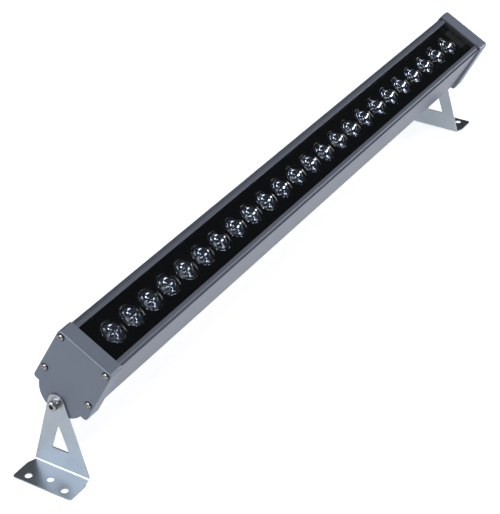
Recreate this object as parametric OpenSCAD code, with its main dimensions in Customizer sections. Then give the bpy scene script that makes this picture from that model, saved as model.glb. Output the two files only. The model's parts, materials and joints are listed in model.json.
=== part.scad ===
// Outdoor wall washer light: a slim LED bar that tilts between two sheet-metal feet.
// X runs along the bar, Z is up, and the front face leans towards -Y.
// The origin is the centre of the four outer foot holes, on the mounting surface.
// Depths are measured inwards from the front rails of the housing.

/* [Light bar] */
// Length over the two end caps
body_length = 1000; // [560:10:1500]
// Lean of the front face from straight up, in degrees
tilt = 28.5; // [-60:0.5:60]
// Depth of the pivot axis behind the front rails
pivot_depth = 98; // [94:0.5:102]

/* [Housing] */
// Width across the front edges
housing_width = 77.4; // [76:0.2:84]
// Width across the back corners
housing_back_width = 75; // [74:0.5:78]
// Depth from the front rails to the back shoulders
housing_depth = 86; // [80:1:92]
// Radius of the long back corners
housing_corner_radius = 3; // [1:0.5:5]
// Radius of the finned round back
back_radius = 29.5; // [27:0.5:31]
// Depth of the centre of the round back
back_centre_depth = 81.8; // [76:0.2:84]
// Wall between the chamber and the round back
back_wall = 4; // [3.5:0.5:6]
// Least wall of the two chambers
housing_wall = 2.4; // [2:0.1:3]
// Thickness of the web that carries the LED boards
web_thickness = 3; // [2:0.5:5]
// Width of each cooling groove in the round back
fin_gap = 2; // [1:0.5:3]
// Depth of each cooling groove
fin_depth = 2; // [1:0.25:2.5]
// Number of cooling grooves
fin_count = 11; // [3:2:13]
// Angle between two cooling grooves
fin_step = 11; // [8:1:12]

/* [Front rails] */
// Clear width of the window between the rails
window_width = 58.2; // [54:0.2:59]
// Thickness of the rail lips over the glass
rail_lip = 1.6; // [1:0.1:2]
// Overlap of each rail lip on the glass seal
rail_overlap = 2.1; // [1.5:0.1:2.3]
// Width of the sloped outer edge of each rail
rail_bevel = 2; // [0.5:0.25:2.5]
// Drop of the sloped outer edge
rail_bevel_drop = 1; // [0.5:0.25:1.5]
// Width of the shadow groove beside each rail
rail_groove = 1.8; // [1:0.1:2]
// Depth of the shadow groove
rail_groove_depth = 2.6; // [1:0.1:2.8]
// Thickness of the side wall's top edge, outside the groove
side_lip = 0.8; // [0.6:0.1:1.3]
// Drop of the side wall's top edge below the rails
side_lip_drop = 0.4; // [0:0.1:1]
// Thickness of the ledge under the lens tray
ledge_thickness = 2; // [1.5:0.5:3]

/* [Glass and tray] */
// Thickness of the front glass
glass_thickness = 4; // [3:0.5:5]
// Wall of the U-shaped glass seal
seal_wall = 0.6; // [0.4:0.1:1]
// Thickness of the black lens tray
tray_thickness = 2; // [1:0.5:3]
// Play of a piece that slides into the housing from its end
slide_play = 0.2; // [0.1:0.05:0.4]

/* [Lenses] */
// Distance between two lenses
lens_pitch = 38.2; // [36:0.2:60]
// Least distance from the first lens to the end of the housing
lens_end_margin = 36.5; // [34:0.5:60]
// Diameter of the lens flange
lens_diameter = 30.5; // [24:0.5:31]
// Thickness of the lens flange
lens_flange = 2; // [1:0.25:3]
// Height of the lens from its foot to the top of its flange
lens_height = 14; // [11:0.5:15]
// Diameter of the lens foot
lens_foot_diameter = 12; // [9:0.5:14]
// Recess of the lens below the face of the tray
lens_recess = 0.4; // [0.2:0.1:1]
// Clearance round the lens flange in the tray
lens_hole_clearance = 0.5; // [0.2:0.1:0.8]
// Width of the chamfer round each hole of the tray
lens_hole_chamfer = 0.8; // [0.3:0.1:1.2]
// Wall of the lens holder outside the lens body
holder_wall = 2; // [1.5:0.25:2.5]

/* [LED boards] */
// Width of the boards
board_width = 52; // [48:1:58]
// Thickness of the boards
board_thickness = 1.6; // [1:0.2:2]
// Gap between a board and the end of the housing
board_end_gap = 1; // [0.5:0.5:2]
// Gap between the two boards
board_gap = 0.6; // [0.2:0.2:2]
// Distance of the screws from the middle line of the boards
board_screw_offset = 21.5; // [20:0.5:22]
// Number of lens gaps from one pair of screws to the next
board_screw_step = 4; // [2:2:8]
// Side of the LED package
led_side = 3.5; // [2.5:0.5:5]
// Height of the LED package
led_base = 0.8; // [0.5:0.1:1.2]
// Radius of the LED dome
led_dome = 1.4; // [1:0.1:1.7]

/* [Board connector] */
// Length of the connector along the bar
connector_length = 15.5; // [10:0.5:16]
// Width of the connector across the bar
connector_width = 34; // [20:1:44]
// Gap between the connector and the end of the housing
connector_end_gap = 1.5; // [1:0.5:3]
// Length of the plug that links the two boards
link_length = 3; // [2:0.25:3.5]
// Width of the plug that links the two boards
link_width = 14; // [8:1:20]
// Height of the plug that links the two boards
link_height = 5; // [3:0.5:8]
// Diameter of a wire over its insulation
wire_diameter = 2; // [1.4:0.1:2.4]
// Distance between the two wires
wire_spacing = 5; // [3:0.5:6]
// Bend radius of a wire
wire_bend = 8; // [6:1:12]
// Diameter of the wire hole in the web and the board
wire_hole = 9; // [8:0.5:11]

/* [End caps] */
// Thickness of a cap along the bar
cap_thickness = 22; // [20:0.5:28]
// Width of a cap at its front
cap_front_width = 82; // [80:0.5:88]
// Width of a cap at its back corners
cap_back_width = 84; // [80:0.5:90]
// Height of the cap's front edge above the rails
cap_lip = 2; // [1:0.25:4]
// Depth of the cap's back shoulders behind the rails
cap_depth = 90; // [88:0.5:96]
// Radius of the cap's round back
cap_lobe_radius = 33.8; // [31:0.1:35]
// Radius of the cap's four corners
cap_corner_radius = 4.5; // [4:0.5:8]
// Radius of the soft edge round the end face
cap_edge_radius = 1; // [0.6:0.2:3.4]
// Wall of the cap
cap_wall = 5; // [4:0.5:6]
// Depth of the solid band behind the cap's front edge
cap_front_band = 10; // [9:0.5:14]
// Radius of the bosses round the screws
cap_boss_radius = 6.5; // [5:0.5:8]
// Radius of the boss round the pivot bolt
pivot_boss_radius = 10.5; // [8:0.5:13]
// Thickness of the gasket under a cap
gasket_thickness = 1.5; // [1:0.25:3]

/* [Cap screws] */
// Distance between the screws across the bar
cap_screw_spacing = 68.4; // [68:0.1:68.8]
// Depth of the front pair of screws
cap_screw_front_depth = 4.5; // [4.3:0.1:4.8]
// Depth of the rear pair of screws
cap_screw_rear_depth = 64; // [40:1:70]
// Thread diameter of the cap screws
cap_screw_diameter = 4; // [3:0.5:4]
// Head diameter of the cap screws
cap_screw_head = 8; // [7:0.5:8.5]
// Head height of the cap screws
cap_screw_head_height = 2.6; // [2:0.2:3.2]
// Depth to which a cap screw reaches into the housing
cap_screw_bite = 12; // [8:1:20]
// Outer diameter of the screw washers
cap_washer_diameter = 9.4; // [9:0.2:10]
// Thickness of the screw washers
cap_washer_thickness = 0.8; // [0.5:0.1:1]
// Diameter of the shallow recess round a screw
cap_recess_diameter = 10.8; // [10.5:0.1:12]
// Depth of the shallow recess
cap_recess_depth = 1.2; // [0.5:0.1:2]

/* [Brackets] */
// Height of the pivot above the mounting surface
pivot_height = 101; // [90:1:140]
// Thickness of the sheet
sheet = 2; // [1.5:0.25:3]
// Inner radius of the bend
bend_radius = 3; // [1:0.5:5]
// Radius of the rounded top round the pivot
bracket_top_radius = 12; // [10.5:0.5:16]
// Width of the upright at the bend
bracket_width = 80; // [60:1:86]
// Width of the foot
foot_width = 87; // [86:1:110]
// Distance from the upright to where the foot has its full width
foot_flare = 12; // [8:0.5:16]
// Length of the foot from the outer face of the upright
foot_length = 41.5; // [38:0.5:60]
// Radius of the outer corners of the foot
foot_corner_radius = 3.5; // [1:0.5:6]
// Diameter of the three holes in a foot
foot_hole_diameter = 9; // [5:0.5:10]
// Distance between the outer holes of a foot
foot_hole_spacing = 54; // [40:0.5:64]
// Distance of the outer holes from the upright
foot_hole_reach = 31; // [26:0.5:33]
// Distance of the middle hole from the upright
foot_middle_reach = 23; // [16:0.5:26]
// Height of the base of the triangular window
bracket_window_base = 30; // [24:0.5:40]
// Height of the tip of the triangular window
bracket_window_tip = 69.5; // [60:0.5:78]
// Width of the base of the triangular window
bracket_window_width = 25.5; // [16:0.5:30]
// Corner radius of the triangular window
bracket_window_radius = 1.5; // [1:0.25:2.5]

/* [Pivots] */
// Thread diameter of the pivot bolts
pivot_bolt_diameter = 8; // [6:1:8]
// Head diameter of the pivot bolts
pivot_head_diameter = 13; // [12:0.5:14]
// Head height of the pivot bolts
pivot_head_height = 8; // [5:0.5:9]
// Width across flats of the hexagon socket
pivot_socket_width = 6; // [4:0.5:6]
// Depth of the hexagon socket
pivot_socket_depth = 4.5; // [2:0.5:4.5]
// Length of thread inside the cap
pivot_bite = 14; // [8:1:16]
// Running clearance of the bracket on the bolt, on the radius
pivot_clearance = 0.08; // [0.03:0.01:0.15]
// Outer diameter of the plain washer under the head
pivot_washer_diameter = 16; // [14:0.5:20]
// Thickness of the plain washer
pivot_washer_thickness = 1.6; // [1:0.2:2.4]
// Thickness of the friction washer between bracket and cap
friction_washer_thickness = 0.5; // [0.4:0.1:2]
// Outer diameter of the friction washer
friction_washer_diameter = 20; // [16:0.5:24]

/* [Driver] */
// Length of the driver case
driver_length = 240; // [160:5:300]
// Width of the driver case
driver_width = 48; // [44:1:56]
// Height of the driver case
driver_height = 30; // [28:1:36]
// Sheet thickness of the driver case
driver_wall = 1.2; // [0.8:0.1:2]
// Distance from the driver to the end of the housing
driver_end_gap = 70; // [50:5:120]
// Length of the ear at each end of the case
driver_ear = 12; // [10:1:16]
// Height of the posts under the driver board
driver_post_height = 4; // [3:0.5:6]
// Diameter of the posts under the driver board
driver_post_diameter = 6; // [5:0.5:8]
// Thickness of the driver board
driver_board_thickness = 1.6; // [1:0.2:2]
// Gap between the driver board and the case
driver_board_gap = 1; // [0.5:0.25:2]
// Length of the terminal block that closes the open end of the case
terminal_length = 12; // [10:1:16]
// Side of the transformer core
transformer_side = 26; // [20:1:32]
// Height of the transformer
transformer_height = 18; // [14:1:20]
// Diameter of a capacitor
capacitor_diameter = 10; // [6:1:12]
// Height of a capacitor
capacitor_height = 17; // [12:1:20]
// Number of capacitors
capacitor_count = 3; // [1:1:4]

/* [Small screws] */
// Thread diameter of the board and driver screws
small_screw_diameter = 3; // [2:0.5:3]
// Head diameter of the board and driver screws
small_screw_head = 5.6; // [4.5:0.2:6]
// Head height of the board and driver screws
small_screw_head_height = 2; // [1.4:0.2:2.4]

/* [Cable gland] */
// Depth of the gland's axis behind the rails
gland_depth = 50; // [40:1:56]
// Thread diameter of the gland
gland_thread = 16; // [14:1:18]
// Width across flats of the gland's hexagons
gland_flats = 22; // [21:0.5:25]
// Thickness of the gland's flange
gland_flange = 5; // [4:0.5:8]
// Length of the gland's outer neck
gland_neck = 8; // [6:1:12]
// Length of the dome nut
gland_nut_length = 13; // [11:1:18]
// Wall at the mouth of the dome nut
gland_nut_mouth = 3; // [2:0.5:4]
// Diameter of the cable hole in the seal
cable_hole = 8; // [6:0.5:9]
// Clearance round the cable in the dome nut, on the radius
cable_nut_clearance = 1; // [0.5:0.25:2]
// Wall of the rubber seal round the cable
gland_seal_wall = 2.4; // [1.5:0.1:2.6]
// Length of the rubber seal
gland_seal_length = 8; // [6:0.5:8]
// Thickness of the gland's sealing washer
gland_washer_thickness = 1.5; // [1:0.25:2]
// Height of the locknut
gland_locknut_height = 5; // [3:0.5:6]

/* [Hidden] */
$fn = 48;

// Overrun of a cut past the face that it opens
overrun = 1;
// Radial clearance of a plain-drawn thread in its hole
thread_clearance = 0.05;
// Radial clearance of a screw in a drilled hole
hole_clearance = 0.25;
// Clearance of an inner piece beside a wall
inner_clearance = 0.4;
// Size of a screw's cross slot, and height of its dome, as shares of the head
slot_share = 0.55;
dome_share = 0.6;

// Where the parts of the bar lie along it
end_stack = cap_thickness + gasket_thickness;
housing_length = body_length - 2 * end_stack;
housing_end = housing_length / 2;
cap_face = body_length / 2;

// How the front of the housing is layered
seal_depth = rail_lip;
glass_depth = seal_depth + seal_wall;
glass_back_depth = glass_depth + glass_thickness;
tray_depth = glass_back_depth + seal_wall;
tray_back_depth = tray_depth + tray_thickness;
ledge_back_depth = tray_back_depth + ledge_thickness;
lens_top_depth = tray_depth + lens_recess;
board_depth = lens_top_depth + lens_height + led_base + led_dome;
web_depth = board_depth + board_thickness;
web_back_depth = web_depth + web_thickness;
slot_half = window_width / 2 + rail_overlap;
chamber_half = min(housing_width, housing_back_width) / 2 - housing_wall;
rear_chamber_depth = housing_depth - housing_wall;
rail_outer = housing_width / 2 - side_lip - rail_groove;
back_inner_radius = back_radius - back_wall;
screw_half = cap_screw_spacing / 2;
port_radius = cap_screw_diameter / 2 + thread_clearance;
port_wall = 1.1;
fin_start = -fin_step * (fin_count - 1) / 2;

// How the lenses are spaced
lens_gaps = floor((housing_length - 2 * lens_end_margin) / lens_pitch);
lens_hole_radius = lens_diameter / 2 + lens_hole_clearance;
lens_body_radius = lens_diameter / 2 - holder_wall;
lens_cup_radius = 3.5;
lens_cup_depth = 5;
holder_top_depth = lens_top_depth + lens_flange;
holder_radius = lens_diameter / 2 + hole_clearance;
board_end = housing_end - board_end_gap;
connector_x = housing_end - connector_end_gap - connector_length / 2;
connector_top_depth = tray_depth + lens_recess;
connector_clearance = 0.3;

// Where the two LED boards meet, midway between two lenses
board_split = lens_x(floor(lens_gaps / 2)) + lens_pitch / 2;
board_screw_last = floor((lens_gaps - 1) / 2);

// How the driver hangs under the web
driver_x1 = housing_end - driver_end_gap;
driver_x0 = driver_x1 - driver_length;
driver_board_depth = web_back_depth + driver_wall + driver_post_height;
driver_parts_depth = driver_board_depth + driver_board_thickness;
driver_bottom_depth = web_back_depth + driver_height;
driver_inner_half = driver_width / 2 - driver_wall;
driver_post_inset = 8;
driver_cover_lip = 4;
terminal_height = 14;
transformer_x = driver_x0 + driver_length / 3;
transformer_winding = 4;
capacitor_step = capacitor_diameter + 4 * driver_board_gap;
capacitor_x = driver_x0 + driver_length / 2 + transformer_side / 2;
wire_depth = driver_parts_depth + terminal_height / 2;

// How the gland is stacked outwards from the cap
gland_flange_x = cap_face + gland_washer_thickness;
gland_neck_x = gland_flange_x + gland_flange;
gland_nut_x = gland_neck_x + hole_clearance;
gland_nut_mouth_x = gland_nut_x + gland_nut_length - gland_nut_mouth;
gland_seal_x = gland_nut_mouth_x - gland_seal_length;
gland_bore_radius = cable_hole / 2 + gland_seal_wall / 2;
gland_seal_radius = cable_hole / 2 + gland_seal_wall;
gland_neck_wall = 1.6;
gland_neck_radius = gland_seal_radius + gland_neck_wall;
gland_stub_length = cap_wall + gland_washer_thickness + gland_locknut_height + thread_clearance;
gland_corner_ratio = 1 / cos(30);

// How a pivot is stacked outwards from the cap
plate_x = cap_face + friction_washer_thickness;
plate_face_x = plate_x + sheet;
bolt_head_x = plate_face_x + pivot_washer_thickness;
bolt_radius = pivot_bolt_diameter / 2;
bracket_bore = bolt_radius + pivot_clearance;
foot_end_x = plate_face_x + foot_length;
bend_x = plate_face_x + bend_radius;
bend_height = sheet + bend_radius;

// Height above the pivot of a place at a given depth
function up(depth) = pivot_depth - depth;

// Place along the bar of one lens
function lens_x(i) = (i - lens_gaps / 2) * lens_pitch;

// Length of a vector in the plane
function size2(v) = sqrt(v[0] * v[0] + v[1] * v[1]);

// Outward side of the edge from p to q, for corners listed anticlockwise
function outward(p, q) = [q[1] - p[1], p[0] - q[0]] / size2(q - p);

// Corner of a plane outline with a straight edge tangent to a circle
function tangent_angle(p, centre, r) = atan2(p[1] - centre[1], p[0] - centre[0])
                                       + acos(r / size2(p - centre));

// Points along a quarter arc that softens an outer edge
function edge_arc(reach, height, r) = [for (a = [0 : 15 : 90])
    [reach - r + r * cos(a), height - r + r * sin(a)]];

// Puts a piece of the tilting bar, drawn about the pivot, into place
module on_bar() {
    translate([0, 0, pivot_height]) rotate([tilt, 0, 0]) children();
}

// Pulls a section, drawn across the bar, along it
module along_bar(x, length) {
    translate([x, 0, 0]) rotate([90, 0, 90]) linear_extrude(height = length) children();
}

// Turns an upright shape to point along the bar
module point_along(x, y, depth) {
    translate([x, y, up(depth)]) rotate([0, 90, 0]) children();
}

// Both sides of the bar
module both_sides() {
    children();
    mirror([0, 1, 0]) children();
}

// The same piece at the other end
module at_left() {
    mirror([1, 0, 0]) children();
}

// Convex outline through circles of one radius
module round_outline(centres, r) {
    count = len(centres);
    for (c = centres) translate(c) circle(r = r);
    polygon([for (i = [0 : count - 1])
        let (p = centres[i], q = centres[(i + 1) % count], side = r * outward(p, q))
        each [p + side, q + side]]);
}

// Centred strip of a section between two depths
module band(half_width, top_depth, bottom_depth) {
    translate([-half_width, up(bottom_depth)])
        square([2 * half_width, bottom_depth - top_depth]);
}

// Box on the middle line of the bar, between two depths
module bar_box(x, length, half_width, top_depth, bottom_depth) {
    translate([x, -half_width, up(bottom_depth)])
        cube([length, 2 * half_width, bottom_depth - top_depth]);
}

// Screw with a domed cross-slot head whose seat is at zero and whose thread points down
module cross_screw(diameter, head, head_height, length) {
    slot_width = diameter / 4;
    slot_length = head * slot_share;
    slot_depth = head_height * slot_share;
    dome = head_height * dome_share;
    difference() {
        union() {
            rotate_extrude() polygon(concat([[0, 0], [head / 2, 0]],
                                            edge_arc(head / 2, head_height, dome), [[0, head_height]]));
            translate([0, 0, -length]) cylinder(d = diameter, h = length + head_height / 4);
        }
        for (turn = [0, 90]) rotate([0, 0, turn])
            translate([-slot_length / 2, -slot_width / 2, head_height - slot_depth])
                cube([slot_length, slot_width, slot_depth + overrun]);
    }
}

// Flat ring that starts at zero
module washer(outer, inner, thickness) {
    difference() {
        cylinder(d = outer, h = thickness);
        translate([0, 0, -overrun]) cylinder(d = inner, h = thickness + 2 * overrun);
    }
}

// Sections shared by the housing, the gaskets and the caps

module housing_outline() {
    half = housing_width / 2;
    back = housing_back_width / 2;
    r = housing_corner_radius;
    polygon([[-back, up(housing_depth - r)], [-back + r, up(housing_depth)],
             [back - r, up(housing_depth)], [back, up(housing_depth - r)],
             [half, up(side_lip_drop)], [rail_outer, up(side_lip_drop)],
             [rail_outer, up(rail_bevel_drop)], [rail_outer - rail_bevel, up(0)],
             [rail_bevel - rail_outer, up(0)], [-rail_outer, up(rail_bevel_drop)],
             [-rail_outer, up(side_lip_drop)], [-half, up(side_lip_drop)]]);
    for (y = [r - back, back - r]) translate([y, up(housing_depth - r)]) circle(r = r);
    translate([0, up(back_centre_depth)]) circle(r = back_radius, $fn = 96);
}

module chambers() {
    difference() {
        union() {
            band(chamber_half, ledge_back_depth, web_depth);
            band(chamber_half, web_back_depth, rear_chamber_depth);
            translate([0, up(back_centre_depth)]) circle(r = back_inner_radius, $fn = 96);
        }
        for (y = [-screw_half, screw_half])
            translate([y, up(cap_screw_rear_depth)]) circle(r = port_radius + port_wall);
    }
}

module cap_screw_holes(r) {
    for (y = [-screw_half, screw_half])
        for (depth = [cap_screw_front_depth, cap_screw_rear_depth])
            translate([y, up(depth)]) circle(r = r);
}

// Housing

module housing_section() {
    difference() {
        housing_outline();
        chambers();
        cap_screw_holes(port_radius);
        band(window_width / 2, -overrun, ledge_back_depth + overrun);
        band(slot_half, rail_lip, tray_back_depth);
        for (y = [-rail_outer - rail_groove, rail_outer])
            translate([y, up(rail_groove_depth)]) square([rail_groove, rail_groove_depth + overrun]);
        for (i = [0 : fin_count - 1])
            translate([0, up(back_centre_depth)]) rotate([0, 0, fin_start + i * fin_step])
                translate([-fin_gap / 2, -back_radius - overrun]) square([fin_gap, fin_depth + overrun]);
    }
}

module housing_extrusion() {
    color([0.56, 0.58, 0.63]) on_bar() difference() {
        along_bar(-housing_end, housing_length) housing_section();
        translate([connector_x, 0, up(web_back_depth + overrun)])
            cylinder(d = wire_hole, h = web_thickness + 2 * overrun);
        board_screw_places() cylinder(d = small_screw_diameter + 2 * thread_clearance,
                                      h = web_thickness + 2 * overrun);
        driver_mount_places() cylinder(d = small_screw_diameter + 2 * thread_clearance,
                                       h = web_thickness + 2 * overrun);
    }
}

module board_screw_places() {
    for (i = [board_screw_step / 2 : board_screw_step : board_screw_last])
        for (x = [board_split - i * lens_pitch, board_split + i * lens_pitch])
            for (y = [-board_screw_offset, board_screw_offset])
                translate([x, y, up(web_back_depth + overrun)]) children();
}

module driver_mount_places() {
    for (x = [driver_x0 - driver_ear / 2, driver_x1 + driver_ear / 2])
        translate([x, 0, up(web_back_depth + overrun)]) children();
}

// End caps

module cap_corner() {
    rotate_extrude($fn = 32) polygon(concat([[0, 0], [cap_corner_radius, 0]],
        edge_arc(cap_corner_radius, cap_thickness, cap_edge_radius), [[0, cap_thickness]]));
}

module cap_blank() {
    x = cap_face - cap_thickness;
    front_y = cap_front_width / 2 - cap_corner_radius;
    back_y = cap_back_width / 2 - cap_corner_radius;
    hull() {
        for (side = [-1, 1]) {
            point_along(x, side * front_y, cap_corner_radius - cap_lip) cap_corner();
            point_along(x, side * back_y, cap_depth - cap_corner_radius) cap_corner();
        }
    }
    point_along(x, 0, back_centre_depth) rotate_extrude($fn = 96)
        polygon(concat([[0, 0], [cap_lobe_radius, 0]],
                       edge_arc(cap_lobe_radius, cap_thickness, cap_edge_radius), [[0, cap_thickness]]));
}

module cap_hollow() {
    difference() {
        union() {
            band(cap_front_width / 2 - cap_wall, cap_front_band, cap_depth - cap_wall);
            translate([0, up(back_centre_depth)]) circle(r = cap_lobe_radius - cap_wall, $fn = 96);
        }
        cap_screw_holes(cap_boss_radius);
        circle(r = pivot_boss_radius);
    }
}

module end_cap() {
    x = cap_face - cap_thickness;
    difference() {
        cap_blank();
        along_bar(x - overrun, cap_thickness - cap_wall + overrun) cap_hollow();
        along_bar(x - overrun, cap_thickness + 2 * overrun)
            cap_screw_holes(cap_screw_diameter / 2 + hole_clearance);
        along_bar(cap_face - cap_recess_depth, cap_recess_depth + overrun)
            cap_screw_holes(cap_recess_diameter / 2);
        point_along(cap_face - pivot_bite - overrun, 0, pivot_depth)
            cylinder(r = bolt_radius + thread_clearance, h = pivot_bite + 2 * overrun);
    }
}

module left_end_cap() {
    color([0.47, 0.50, 0.55]) on_bar() at_left() end_cap();
}

module right_end_cap() {
    color([0.47, 0.50, 0.55]) on_bar() difference() {
        end_cap();
        point_along(cap_face - cap_wall - overrun, 0, gland_depth)
            cylinder(d = gland_thread + 2 * hole_clearance, h = cap_wall + 2 * overrun);
    }
}

module cap_gasket() {
    along_bar(housing_end, gasket_thickness) difference() {
        housing_outline();
        chambers();
        cap_screw_holes(cap_screw_diameter / 2 + hole_clearance);
    }
}

module left_cap_gasket() {
    color([0.08, 0.08, 0.09]) on_bar() at_left() cap_gasket();
}

module right_cap_gasket() {
    color([0.08, 0.08, 0.09]) on_bar() cap_gasket();
}

module cap_screw_places() {
    for (y = [-screw_half, screw_half])
        for (depth = [cap_screw_front_depth, cap_screw_rear_depth])
            point_along(cap_face - cap_recess_depth, y, depth) children();
}

module cap_screw_set() {
    length = cap_washer_thickness + cap_thickness - cap_recess_depth + gasket_thickness + cap_screw_bite;
    cap_screw_places() translate([0, 0, cap_washer_thickness])
        cross_screw(cap_screw_diameter, cap_screw_head, cap_screw_head_height, length);
}

module cap_washer_set() {
    cap_screw_places()
        washer(cap_washer_diameter, cap_screw_diameter + 2 * hole_clearance, cap_washer_thickness);
}

module left_cap_screws() {
    color([0.75, 0.75, 0.76]) on_bar() at_left() cap_screw_set();
}

module right_cap_screws() {
    color([0.75, 0.75, 0.76]) on_bar() cap_screw_set();
}

module left_cap_washers() {
    color([0.68, 0.68, 0.70]) on_bar() at_left() cap_washer_set();
}

module right_cap_washers() {
    color([0.68, 0.68, 0.70]) on_bar() cap_washer_set();
}

// Glass, seals and tray

module front_glass() {
    color([0.10, 0.11, 0.13, 0.4]) on_bar()
        bar_box(-housing_end, housing_length, slot_half - seal_wall, glass_depth, glass_back_depth);
}

module glass_seals() {
    color([0.05, 0.05, 0.05]) on_bar() both_sides() along_bar(-housing_end, housing_length)
        difference() {
            translate([window_width / 2, up(tray_depth)])
                square([rail_overlap, tray_depth - seal_depth]);
            translate([window_width / 2 - overrun, up(glass_back_depth)])
                square([rail_overlap - seal_wall + overrun, glass_thickness]);
        }
}

module lens_tray() {
    color([0.04, 0.04, 0.05]) on_bar() difference() {
        bar_box(-housing_end, housing_length, slot_half - slide_play, tray_depth, tray_back_depth);
        for (i = [0 : lens_gaps]) translate([lens_x(i), 0, 0]) {
            translate([0, 0, up(tray_back_depth + overrun)])
                cylinder(r = lens_hole_radius, h = tray_thickness + 2 * overrun);
            translate([0, 0, up(tray_depth + lens_hole_chamfer)])
                cylinder(r1 = lens_hole_radius, r2 = lens_hole_radius + lens_hole_chamfer + overrun,
                         h = lens_hole_chamfer + overrun);
        }
        bar_box(connector_x - connector_length / 2 - connector_clearance,
                connector_length + 2 * connector_clearance,
                connector_width / 2 + connector_clearance,
                tray_depth - overrun, tray_back_depth + overrun);
    }
}

// Lenses, holders, LEDs and boards

module lenses() {
    foot_radius = lens_foot_diameter / 2;
    cup_height = lens_cup_depth - lens_cup_radius;
    color([0.72, 0.77, 0.84, 0.6]) on_bar() for (i = [0 : lens_gaps])
        translate([lens_x(i), 0, up(lens_top_depth + lens_height)]) rotate_extrude()
            polygon(concat([[lens_cup_radius, 0], [foot_radius, 0],
                            [lens_body_radius, lens_height - lens_flange],
                            [lens_diameter / 2, lens_height - lens_flange],
                            [lens_diameter / 2, lens_height], [0, lens_height], [0, lens_cup_depth]],
                           [for (a = [75 : -15 : 0])
                               [lens_cup_radius * cos(a), cup_height + lens_cup_radius * sin(a)]]));
}

module lens_holders() {
    height = board_depth - holder_top_depth;
    lift = board_depth - lens_top_depth - lens_height;
    foot_radius = lens_foot_diameter / 2 + inner_clearance;
    top_radius = lens_body_radius + inner_clearance;
    color([0.12, 0.12, 0.13]) on_bar() for (i = [0 : lens_gaps])
        translate([lens_x(i), 0, up(board_depth)]) rotate_extrude()
            polygon([[foot_radius, 0], [holder_radius, 0], [holder_radius, height],
                     [top_radius, height], [foot_radius, lift]]);
}

module led_boards() {
    length = board_end - board_gap / 2;
    color([0.85, 0.86, 0.84]) on_bar() difference() {
        union() {
            bar_box(-board_end, length + board_split, board_width / 2, board_depth, web_depth);
            bar_box(board_split + board_gap / 2, length - board_split, board_width / 2,
                    board_depth, web_depth);
        }
        board_screw_places() cylinder(d = small_screw_diameter + 2 * hole_clearance,
                                      h = web_thickness + board_thickness + 2 * overrun);
        translate([connector_x, 0, up(web_depth + overrun)])
            cylinder(d = wire_hole, h = board_thickness + 2 * overrun);
    }
}

module leds() {
    color([0.95, 0.85, 0.45]) on_bar() for (i = [0 : lens_gaps])
        translate([lens_x(i), 0, up(board_depth)]) {
            translate([-led_side / 2, -led_side / 2, 0]) cube([led_side, led_side, led_base]);
            translate([0, 0, led_base]) rotate_extrude()
                polygon(concat([[0, -led_base / 2], [led_dome, -led_base / 2]],
                               edge_arc(led_dome, led_dome, led_dome)));
        }
}

module board_screws() {
    length = board_thickness + web_thickness;
    color([0.72, 0.72, 0.74]) on_bar() board_screw_places()
        translate([0, 0, length + overrun]) cross_screw(small_screw_diameter, small_screw_head,
                                                        small_screw_head_height, length);
}

module board_connector() {
    color([0.14, 0.15, 0.16]) on_bar() bar_box(connector_x - connector_length / 2, connector_length,
        connector_width / 2, connector_top_depth, board_depth);
}

module board_link() {
    color([0.90, 0.90, 0.88]) on_bar()
        bar_box(board_split - link_length / 2, link_length, link_width / 2,
                board_depth - link_height, board_depth);
}

module led_wires() {
    start = driver_x1;
    run = connector_x - wire_bend - start;
    rise = wire_depth - wire_bend - board_depth;
    color([0.65, 0.10, 0.10]) on_bar() for (y = [-wire_spacing / 2, wire_spacing / 2]) {
        point_along(start, y, wire_depth) cylinder(d = wire_diameter, h = run);
        translate([connector_x - wire_bend, y, up(wire_depth - wire_bend)]) rotate([90, 0, 0])
            rotate_extrude(angle = -90) translate([wire_bend, 0]) circle(d = wire_diameter);
        translate([connector_x, y, up(wire_depth - wire_bend)]) cylinder(d = wire_diameter, h = rise);
    }
}

// Driver

module driver_case() {
    length = driver_length;
    inner = driver_inner_half;
    color([0.78, 0.79, 0.80]) on_bar() difference() {
        union() {
            difference() {
                bar_box(driver_x0, length, driver_width / 2, web_back_depth, driver_bottom_depth);
                bar_box(driver_x0 + driver_wall, length, inner,
                        web_back_depth + driver_wall, driver_bottom_depth + overrun);
            }
            bar_box(driver_x0 - driver_ear, length + 2 * driver_ear, driver_width / 4,
                    web_back_depth, web_back_depth + driver_wall);
            driver_post_places() cylinder(d = driver_post_diameter, h = driver_post_height);
        }
        driver_post_places() cylinder(d = small_screw_diameter + 2 * thread_clearance,
                                      h = driver_post_height);
        driver_mount_places() translate([0, 0, -driver_wall])
            cylinder(d = small_screw_diameter + 2 * hole_clearance, h = driver_wall + 2 * overrun);
    }
}

module driver_post_places() {
    for (x = [driver_x0 + driver_wall + driver_post_inset,
              driver_x1 - terminal_length - driver_post_inset])
        for (y = [driver_post_inset - driver_inner_half, driver_inner_half - driver_post_inset])
            translate([x, y, up(driver_board_depth)]) children();
}

module driver_cover() {
    lip_half = driver_inner_half - slide_play;
    lip_length = driver_length - 2 * driver_wall - terminal_length;
    lip_x = driver_x0 + driver_wall + slide_play;
    color([0.70, 0.71, 0.73]) on_bar() {
        bar_box(driver_x0, driver_length, driver_width / 2, driver_bottom_depth,
                driver_bottom_depth + driver_wall);
        for (y = [-lip_half, lip_half - driver_wall])
            translate([lip_x, y, up(driver_bottom_depth + driver_wall / 2)])
                cube([lip_length, driver_wall, driver_cover_lip + driver_wall / 2]);
    }
}

module driver_board() {
    color([0.10, 0.40, 0.20]) on_bar() difference() {
        bar_box(driver_x0 + driver_wall + driver_board_gap,
                driver_length - driver_wall - driver_board_gap, driver_inner_half - driver_board_gap,
                driver_board_depth, driver_parts_depth);
        driver_post_places() translate([0, 0, -driver_board_thickness - overrun])
            cylinder(d = small_screw_diameter + 2 * hole_clearance,
                     h = driver_board_thickness + 2 * overrun);
    }
}

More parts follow.
